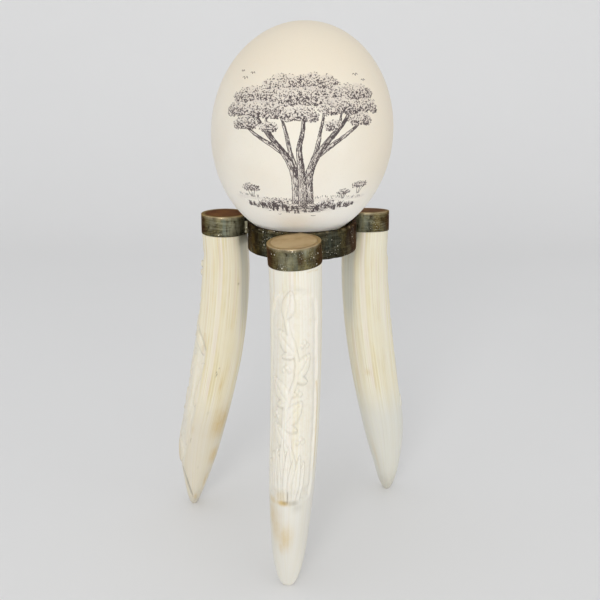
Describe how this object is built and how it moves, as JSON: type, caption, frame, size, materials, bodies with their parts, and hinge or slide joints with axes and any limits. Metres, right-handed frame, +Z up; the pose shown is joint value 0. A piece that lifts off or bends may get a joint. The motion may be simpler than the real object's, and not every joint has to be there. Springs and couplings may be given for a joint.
{
  "type": "ostrich egg on a tusk and brass stand",
  "caption": "Upright ostrich egg with an inked drawing, resting in a brass ring carried by bowed, brass-capped tusk legs.",
  "frame": {"origin": "middle of the bounding box's floor, at the height of the legs' tips", "axes": "+Z up, -Y towards the viewer, the side that the front leg and the egg's drawing face, +X to the viewer's right"},
  "size_m": [0.1886, 0.1702, 0.3905],
  "materials": {
    "eggshell": "matt cream eggshell with dark sepia ink lines",
    "tusk": "polished cream ivory with fine lengthwise lines, ochre stains and low carving",
    "brass": "old brass, dark olive and brown with blue-green and pale spots",
    "plate_brass": "satin brass, rubbed tan"
  },
  "bodies": {
    "root": {"egg": "eggshell", "ring": "brass", "front_cap_band": "brass", "left_cap_band": "brass", "right_cap_band": "brass", "front_cap_plate": "plate_brass", "left_cap_plate": "plate_brass", "right_cap_plate": "plate_brass", "front_tusk": "tusk", "left_tusk": "tusk", "right_tusk": "tusk"}
  },
  "joints": []
}
